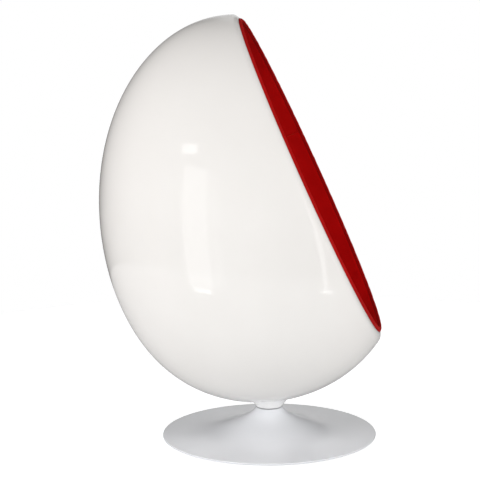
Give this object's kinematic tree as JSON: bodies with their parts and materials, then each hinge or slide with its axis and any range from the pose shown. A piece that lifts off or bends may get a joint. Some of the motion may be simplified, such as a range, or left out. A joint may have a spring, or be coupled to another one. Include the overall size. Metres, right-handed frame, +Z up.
{
  "type": "swivel armchair",
  "caption": "Egg-shaped shell armchair with an upholstered bowl and loose cushions, turning on a short neck over a wide trumpet foot.",
  "frame": {"origin": "on the floor, on the swivel axis, at the centre of the rubber ring under the foot", "axes": "+Z up along the swivel axis; the sitter faces -Y, so the opening of the shell looks along -Y; +X is the sitter's left"},
  "size_m": [0.8932, 0.8299, 1.2575],
  "materials": {
    "shell_gelcoat": "gloss",
    "neck_gloss": "gloss",
    "trumpet_paint": "satin",
    "ballast_paint": "satin",
    "black_rubber": "matte",
    "zinc_steel": "satin",
    "spring_steel": "satin",
    "machined_steel": "satin",
    "bearing_steel": "polished",
    "cage_nylon": "matte",
    "bronze": "satin",
    "birch_plywood": "matte",
    "upholstery_foam": "matte",
    "cushion_foam": "matte",
    "red_wool": "matte",
    "red_wool_roll": "matte",
    "red_wool_cushion": "matte",
    "red_wool_piping": "matte"
  },
  "bodies": {
    "base": {"pedestal_base": "trumpet_paint", "floor_ring": "black_rubber", "ballast_plate": "ballast_paint", "ballast_screws": "zinc_steel", "spindle": "machined_steel", "spindle_bolts": "zinc_steel", "lower_race": "bearing_steel", "thrust_washer": "zinc_steel", "retaining_clip": "spring_steel"},
    "ball_cage": {"ball_cage": "cage_nylon", "bearing_balls": "bearing_steel"},
    "seat": {"upper_race": "bearing_steel", "swivel_hub": "machined_steel", "lower_bush": "bronze", "upper_bush": "bronze", "hub_bolts": "zinc_steel", "tee_nuts": "zinc_steel", "mount_board": "birch_plywood", "neck_fairing": "neck_gloss", "fairing_screws": "zinc_steel", "egg_shell": "shell_gelcoat", "seat_foam": "upholstery_foam", "lining_foam": "upholstery_foam", "seat_lining": "red_wool", "hood_lining": "red_wool", "back_lining": "red_wool", "left_lining": "red_wool", "right_lining": "red_wool", "rim_trim": "red_wool_roll"},
    "seat_cushion": {"seat_cushion_cover": "red_wool_cushion", "seat_cushion_core": "cushion_foam", "seat_cushion_piping": "red_wool_piping"},
    "back_cushion": {"back_cushion_cover": "red_wool_cushion", "back_cushion_core": "cushion_foam", "back_cushion_piping": "red_wool_piping"}
  },
  "joints": [
    {"name": "swivel", "type": "hinge", "parent": "base", "child": "seat", "pos_m": [0, 0, 0.093], "axis": [0, 0, 1], "continuous": true},
    {"name": "ball_roll", "type": "hinge", "parent": "base", "child": "ball_cage", "pos_m": [0, 0, 0.093], "axis": [0, 0, 1], "continuous": true},
    {"name": "seat_cushion_lift", "type": "slide", "parent": "seat", "child": "seat_cushion", "axis": [0, -0.4067, 0.9135], "range_m": [0, 0.7]},
    {"name": "back_cushion_lift", "type": "slide", "parent": "seat", "child": "back_cushion", "axis": [0, -0.9091, 0.4166], "range_m": [0, 1.3]}
  ],
  "couplings": [
    {"joint": "ball_roll", "follows": "swivel", "ratio": 0.5}
  ]
}
